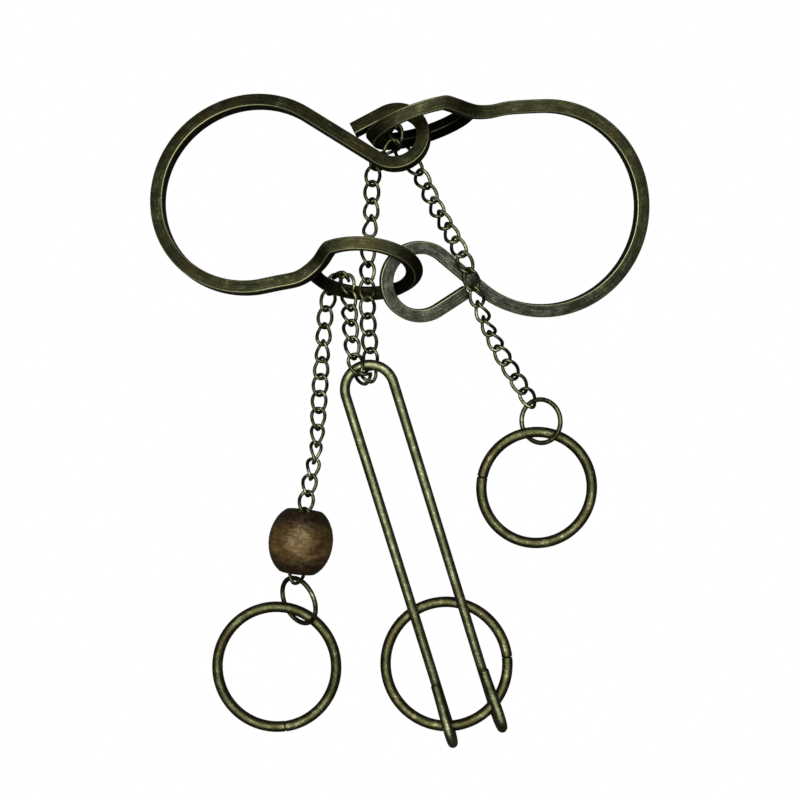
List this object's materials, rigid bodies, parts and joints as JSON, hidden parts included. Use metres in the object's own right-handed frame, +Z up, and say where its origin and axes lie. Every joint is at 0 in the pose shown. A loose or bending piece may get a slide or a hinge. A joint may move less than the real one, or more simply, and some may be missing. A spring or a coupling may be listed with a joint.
{
  "type": "wire disentanglement puzzle",
  "caption": "Metal disentanglement puzzle: linked square-bar frames, a curb chain threaded through both, a long wire shuttle, end rings and a wooden bead.",
  "frame": {"origin": "middle of the footprint, on the table the puzzle lies on", "axes": "+Z up from the table; +Y along the table towards the two frames; +X to the right-hand frame"},
  "size_m": [0.1446, 0.189, 0.0253],
  "materials": {
    "antique_bronze": "antiqued: dark olive-black in the hollows, worn olive-brass on the edges, satin",
    "stained_wood": "dark red-brown stain under gloss lacquer"
  },
  "bodies": {
    "bead": {"bead": "stained_wood"},
    "bead_chain_core": {"bead_chain_core": "antique_bronze"},
    "bight_low": {"bight_low": "antique_bronze"},
    "bight_shuttle": {"bight_shuttle": "antique_bronze"},
    "bight_top": {"bight_top": "antique_bronze"},
    "chain_i_01": {"chain_i_01": "antique_bronze"},
    "chain_i_02": {"chain_i_02": "antique_bronze"},
    "chain_i_03": {"chain_i_03": "antique_bronze"},
    "chain_i_04": {"chain_i_04": "antique_bronze"},
    "chain_l_01": {"chain_l_01": "antique_bronze"},
    "chain_l_02": {"chain_l_02": "antique_bronze"},
    "chain_l_03": {"chain_l_03": "antique_bronze"},
    "chain_l_04": {"chain_l_04": "antique_bronze"},
    "chain_l_05": {"chain_l_05": "antique_bronze"},
    "chain_l_06": {"chain_l_06": "antique_bronze"},
    "chain_l_07": {"chain_l_07": "antique_bronze"},
    "chain_l_08": {"chain_l_08": "antique_bronze"},
    "chain_l_09": {"chain_l_09": "antique_bronze"},
    "chain_l_10": {"chain_l_10": "antique_bronze"},
    "chain_l_11": {"chain_l_11": "antique_bronze"},
    "chain_l_12": {"chain_l_12": "antique_bronze"},
    "chain_l_13": {"chain_l_13": "antique_bronze"},
    "chain_m_01": {"chain_m_01": "antique_bronze"},
    "chain_m_02": {"chain_m_02": "antique_bronze"},
    "chain_m_03": {"chain_m_03": "antique_bronze"},
    "chain_n_01": {"chain_n_01": "antique_bronze"},
    "chain_n_02": {"chain_n_02": "antique_bronze"},
    "chain_n_03": {"chain_n_03": "antique_bronze"},
    "chain_n_04": {"chain_n_04": "antique_bronze"},
    "chain_n_05": {"chain_n_05": "antique_bronze"},
    "chain_n_06": {"chain_n_06": "antique_bronze"},
    "chain_r_01": {"chain_r_01": "antique_bronze"},
    "chain_r_02": {"chain_r_02": "antique_bronze"},
    "chain_r_03": {"chain_r_03": "antique_bronze"},
    "chain_r_04": {"chain_r_04": "antique_bronze"},
    "chain_r_05": {"chain_r_05": "antique_bronze"},
    "chain_r_06": {"chain_r_06": "antique_bronze"},
    "chain_r_07": {"chain_r_07": "antique_bronze"},
    "chain_r_08": {"chain_r_08": "antique_bronze"},
    "chain_r_09": {"chain_r_09": "antique_bronze"},
    "chain_r_10": {"chain_r_10": "antique_bronze"},
    "chain_r_11": {"chain_r_11": "antique_bronze"},
    "chain_r_12": {"chain_r_12": "antique_bronze"},
    "chain_r_13": {"chain_r_13": "antique_bronze"},
    "chain_r_14": {"chain_r_14": "antique_bronze"},
    "chain_r_15": {"chain_r_15": "antique_bronze"},
    "chain_r_16": {"chain_r_16": "antique_bronze"},
    "chain_r_17": {"chain_r_17": "antique_bronze"},
    "jump_ring_left": {"jump_ring_left": "antique_bronze"},
    "jump_ring_right": {"jump_ring_right": "antique_bronze"},
    "left_frame": {"left_frame": "antique_bronze"},
    "right_frame": {"right_frame": "antique_bronze"},
    "ring_left": {"ring_left": "antique_bronze"},
    "ring_right": {"ring_right": "antique_bronze"},
    "ring_shuttle": {"ring_shuttle": "antique_bronze"},
    "shuttle": {"shuttle": "antique_bronze"}
  },
  "joints": [
    {"name": "right_frame_turn", "type": "hinge", "parent": "left_frame", "child": "right_frame", "pos_m": [-0.0007, 0.06288, 0.01275], "axis": [-0.1175, 0.9923, 0.0392], "range_deg": [-4.5, 12]},
    {"name": "bight_low_turn", "type": "hinge", "parent": "left_frame", "child": "bight_low", "pos_m": [-0.01765, 0.03785, 0.00721], "axis": [0.9237, -0.2632, -0.2786], "range_deg": [-8, 12]},
    {"name": "chain_l_01_turn", "type": "hinge", "parent": "bight_low", "child": "chain_l_01", "pos_m": [-0.02036, 0.03723, 0.00348], "axis": [0.2027, -0.2573, 0.9448], "range_deg": [-4, 3]},
    {"name": "chain_l_02_turn", "type": "hinge", "parent": "chain_l_01", "child": "chain_l_02", "pos_m": [-0.0216, 0.03253, 0.00247], "axis": [0.9955, -0.0902, 0.0282], "range_deg": [-4, 3]},
    {"name": "chain_l_03_turn", "type": "hinge", "parent": "chain_l_02", "child": "chain_l_03", "pos_m": [-0.02205, 0.02758, 0.00245], "axis": [0.3336, -0.0446, -0.9417], "range_deg": [-5, 4]},
    {"name": "chain_l_04_turn", "type": "hinge", "parent": "chain_l_03", "child": "chain_l_04", "pos_m": [-0.02236, 0.02263, 0.00257], "axis": [-0.8207, 0.0599, -0.5682], "range_deg": [-5, 4]},
    {"name": "chain_l_05_turn", "type": "hinge", "parent": "chain_l_04", "child": "chain_l_05", "pos_m": [-0.02272, 0.01767, 0.00256], "axis": [-0.2881, -0.0157, 0.9575], "range_deg": [-6, 4.5]},
    {"name": "chain_l_06_turn", "type": "hinge", "parent": "chain_l_05", "child": "chain_l_06", "pos_m": [-0.02311, 0.01273, 0.00236], "axis": [0.9957, -0.0708, -0.059], "range_deg": [-6, 4.5]},
    {"name": "chain_l_07_turn", "type": "hinge", "parent": "chain_l_06", "child": "chain_l_07", "pos_m": [-0.02346, 0.00778, 0.00241], "axis": [-0.2346, -0.0468, -0.971], "range_deg": [-6, 4.5]},
    {"name": "chain_l_08_turn", "type": "hinge", "parent": "chain_l_07", "child": "chain_l_08", "pos_m": [-0.02371, 0.00283, 0.0027], "axis": [-0.8766, 0.0815, 0.4743], "range_deg": [-6, 4.5]},
    {"name": "chain_l_09_turn", "type": "hinge", "parent": "chain_l_08", "child": "chain_l_09", "pos_m": [-0.02394, -0.00211, 0.00314], "axis": [0.7159, 0.0477, 0.6965], "range_deg": [-6, 4.5]},
    {"name": "chain_l_10_turn", "type": "hinge", "parent": "chain_l_09", "child": "chain_l_10", "pos_m": [-0.02425, -0.00702, 0.00379], "axis": [0.4543, -0.281, -0.8454], "range_deg": [-6, 4.5]},
    {"name": "chain_l_11_turn", "type": "hinge", "parent": "chain_l_10", "child": "chain_l_11", "pos_m": [-0.02485, -0.01179, 0.00505], "axis": [-0.7342, -0.1361, -0.6651], "range_deg": [-6, 4.5]},
    {"name": "chain_l_12_turn", "type": "hinge", "parent": "chain_l_11", "child": "chain_l_12", "pos_m": [-0.02572, -0.0163, 0.00694], "axis": [-0.8509, 0.2841, 0.4418], "range_deg": [-6, 4.5]},
    {"name": "chain_l_13_turn", "type": "hinge", "parent": "chain_l_12", "child": "chain_l_13", "pos_m": [-0.02652, -0.02098, 0.00841], "axis": [0.2483, 0.1395, 0.9586], "range_deg": [-6, 4.5]},
    {"name": "bead_chain_core_turn", "type": "hinge", "parent": "chain_l_13", "child": "bead_chain_core", "pos_m": [-0.02722, -0.02581, 0.00929], "axis": [0.992, -0.1263, 0], "range_deg": [-6, 4.5]},
    {"name": "bead_spin", "type": "hinge", "parent": "bead_chain_core", "child": "bead", "pos_m": [-0.02835, -0.03463, 0.00935], "axis": [0.126, 0.992, 0], "continuous": true},
    {"name": "jump_ring_left_turn", "type": "hinge", "parent": "bead_chain_core", "child": "jump_ring_left", "pos_m": [-0.02969, -0.04541, 0.00849], "axis": [0.7391, -0.1294, 0.6611], "range_deg": [-25, 20]},
    {"name": "ring_left_turn", "type": "hinge", "parent": "jump_ring_left", "child": "ring_left", "pos_m": [-0.03022, -0.05514, 0.00443], "axis": [0.9455, -0.3247, -0.0238], "range_deg": [-4, 24]},
    {"name": "chain_i_01_turn", "type": "hinge", "parent": "bight_low", "child": "chain_i_01", "pos_m": [-0.0146, 0.0363, 0.01089], "axis": [0.3576, 0.4879, 0.7963], "range_deg": [-3, 2]},
    {"name": "chain_i_02_turn", "type": "hinge", "parent": "chain_i_01", "child": "chain_i_02", "pos_m": [-0.01434, 0.03202, 0.01339], "axis": [0.9307, -0.1161, -0.3468], "range_deg": [-3, 2]},
    {"name": "chain_i_03_turn", "type": "hinge", "parent": "chain_i_02", "child": "chain_i_03", "pos_m": [-0.01403, 0.02763, 0.01568], "axis": [-0.3855, -0.276, -0.8805], "range_deg": [-3, 2]},
    {"name": "chain_i_04_turn", "type": "hinge", "parent": "chain_i_03", "child": "chain_i_04", "pos_m": [-0.01355, 0.02286, 0.01697], "axis": [-0.9103, -0.0422, 0.4118], "range_deg": [-3, 2]},
    {"name": "bight_shuttle_turn", "type": "hinge", "parent": "chain_i_04", "child": "bight_shuttle", "pos_m": [-0.01298, 0.01798, 0.01771], "axis": [0.8265, 0.3533, -0.4383], "range_deg": [-4, 3]},
    {"name": "shuttle_turn", "type": "hinge", "parent": "bight_shuttle", "child": "shuttle", "pos_m": [-0.01062, 0.01557, 0.01325], "axis": [0.9555, 0.2949, 0], "range_deg": [-15, 8]},
    {"name": "ring_shuttle_spin", "type": "hinge", "parent": "shuttle", "child": "ring_shuttle", "pos_m": [0.01355, -0.07072, 0.00403], "axis": [-0.0244, 0.1305, 0.9911], "continuous": true},
    {"name": "chain_n_01_turn", "type": "hinge", "parent": "bight_shuttle", "child": "chain_n_01", "pos_m": [-0.00844, 0.02005, 0.00931], "axis": [0.0685, -0.0112, 0.9976], "range_deg": [-3, 2]},
    {"name": "chain_n_02_turn", "type": "hinge", "parent": "chain_n_01", "child": "chain_n_02", "pos_m": [-0.00888, 0.025, 0.0094], "axis": [-0.9954, -0.0679, 0.0676], "range_deg": [-3, 3]},
    {"name": "chain_n_03_turn", "type": "hinge", "parent": "chain_n_02", "child": "chain_n_03", "pos_m": [-0.0092, 0.02994, 0.00972], "axis": [-0.0747, 0.163, -0.9838], "range_deg": [-3, 3]},
    {"name": "chain_n_04_turn", "type": "hinge", "parent": "chain_n_03", "child": "chain_n_04", "pos_m": [-0.00932, 0.03484, 0.01054], "axis": [0.9972, 0.0115, -0.0738], "range_deg": [-3, 3]},
    {"name": "chain_n_05_turn", "type": "hinge", "parent": "chain_n_04", "child": "chain_n_05", "pos_m": [-0.00934, 0.03978, 0.01098], "axis": [0.3409, 0.161, 0.9262], "range_deg": [-3, 3]},
    {"name": "chain_n_06_turn", "type": "hinge", "parent": "chain_n_05", "child": "chain_n_06", "pos_m": [-0.00919, 0.04466, 0.01008], "axis": [-0.8191, 0.1436, 0.5554], "range_deg": [-3, 3]},
    {"name": "bight_top_turn", "type": "hinge", "parent": "right_frame", "child": "bight_top", "pos_m": [-0.00085, 0.0805, 0.00753], "axis": [0.9109, 0.1951, -0.3635], "range_deg": [-2.5, 0]},
    {"name": "chain_m_01_turn", "type": "hinge", "parent": "bight_top", "child": "chain_m_01", "pos_m": [-0.00805, 0.06828, 0.007], "axis": [-0.0008, -0.05, 0.9988], "range_deg": [-5, 5]},
    {"name": "chain_m_02_turn", "type": "hinge", "parent": "chain_m_01", "child": "chain_m_02", "pos_m": [-0.00813, 0.06332, 0.00675], "axis": [0.9512, -0.0264, 0.3075], "range_deg": [-5, 5]},
    {"name": "chain_m_03_turn", "type": "hinge", "parent": "chain_m_02", "child": "chain_m_03", "pos_m": [-0.00834, 0.05836, 0.00697], "axis": [0.5743, -0.1956, -0.7949], "range_deg": [-5, 5]},
    {"name": "chain_r_01_turn", "type": "hinge", "parent": "bight_top", "child": "chain_r_01", "pos_m": [0.00285, 0.07608, 0.003], "axis": [-0.0812, 0.122, 0.9892], "range_deg": [0, 3]},
    {"name": "chain_r_02_turn", "type": "hinge", "parent": "chain_r_01", "child": "chain_r_02", "pos_m": [0.00557, 0.07199, 0.00373], "axis": [0.9023, 0.4306, 0.021], "range_deg": [-3, 0.5]},
    {"name": "chain_r_03_turn", "type": "hinge", "parent": "chain_r_02", "child": "chain_r_03", "pos_m": [0.00759, 0.06768, 0.00515], "axis": [0.3436, -0.196, -0.9184], "range_deg": [-3, 0]},
    {"name": "chain_r_04_turn", "type": "hinge", "parent": "chain_r_03", "child": "chain_r_04", "pos_m": [0.00943, 0.06336, 0.00676], "axis": [-0.7273, -0.5256, -0.4414], "range_deg": [-2, 4]},
    {"name": "chain_r_05_turn", "type": "hinge", "parent": "chain_r_04", "child": "chain_r_05", "pos_m": [0.01134, 0.05916, 0.0086], "axis": [-0.7016, 0.0643, 0.7097], "range_deg": [-0.5, 4]},
    {"name": "chain_r_06_turn", "type": "hinge", "parent": "chain_r_05", "child": "chain_r_06", "pos_m": [0.0134, 0.05532, 0.01098], "axis": [0.7022, 0.5553, 0.4457], "range_deg": [-4, 4]},
    {"name": "chain_r_07_turn", "type": "hinge", "parent": "chain_r_06", "child": "chain_r_07", "pos_m": [0.01546, 0.05121, 0.01285], "axis": [0.3592, -0.144, -0.9221], "range_deg": [-5, 5]},
    {"name": "chain_r_08_turn", "type": "hinge", "parent": "chain_r_07", "child": "chain_r_08", "pos_m": [0.0175, 0.04693, 0.01432], "axis": [-0.9217, -0.3862, -0.0368], "range_deg": [-5, 5]},
    {"name": "chain_r_09_turn", "type": "hinge", "parent": "chain_r_08", "child": "chain_r_09", "pos_m": [0.01939, 0.04236, 0.01477], "axis": [-0.1916, -0.2317, 0.9537], "range_deg": [-5, 5]},
    {"name": "chain_r_10_turn", "type": "hinge", "parent": "chain_r_09", "child": "chain_r_10", "pos_m": [0.02087, 0.03769, 0.01393], "axis": [0.8331, 0.0956, 0.5448], "range_deg": [-6, 6]},
    {"name": "chain_r_11_turn", "type": "hinge", "parent": "chain_r_10", "child": "chain_r_11", "pos_m": [0.02234, 0.03318, 0.01248], "axis": [0.6006, 0.5231, -0.6047], "range_deg": [-6, 6]},
    {"name": "chain_r_12_turn", "type": "hinge", "parent": "chain_r_11", "child": "chain_r_12", "pos_m": [0.02412, 0.02895, 0.01058], "axis": [-0.6803, 0.0988, -0.7263], "range_deg": [-6, 6]},
    {"name": "chain_r_13_turn", "type": "hinge", "parent": "chain_r_12", "child": "chain_r_13", "pos_m": [0.02604, 0.02502, 0.00824], "axis": [-0.4107, -0.5528, 0.7251], "range_deg": [-6, 6]},
    {"name": "chain_r_14_turn", "type": "hinge", "parent": "chain_r_13", "child": "chain_r_14", "pos_m": [0.02829, 0.02098, 0.00643], "axis": [0.8371, 0.4111, 0.3608], "range_deg": [-6, 6]},
    {"name": "chain_r_15_turn", "type": "hinge", "parent": "chain_r_14", "child": "chain_r_15", "pos_m": [0.0308, 0.01683, 0.00534], "axis": [0.0315, 0.2097, -0.9773], "range_deg": [-6, 6]},
    {"name": "chain_r_16_turn", "type": "hinge", "parent": "chain_r_15", "child": "chain_r_16", "pos_m": [0.03342, 0.01269, 0.00454], "axis": [-0.8377, -0.5451, 0.0337], "range_deg": [-6, 6]},
    {"name": "chain_r_17_turn", "type": "hinge", "parent": "chain_r_16", "child": "chain_r_17", "pos_m": [0.03608, 0.00856, 0.00382], "axis": [0.2407, -0.023, 0.9703], "range_deg": [-6, 6]},
    {"name": "jump_ring_right_turn", "type": "hinge", "parent": "chain_r_17", "child": "jump_ring_right", "pos_m": [0.03831, 0.00524, 0.00311], "axis": [0.718, 0.4828, 0.5014], "range_deg": [-25, 25]},
    {"name": "ring_right_turn", "type": "hinge", "parent": "jump_ring_right", "child": "ring_right", "pos_m": [0.04069, -0.00344, 0.00439], "axis": [0.9986, -0.0522, -0.0038], "range_deg": [-30, 13.5]}
  ]
}
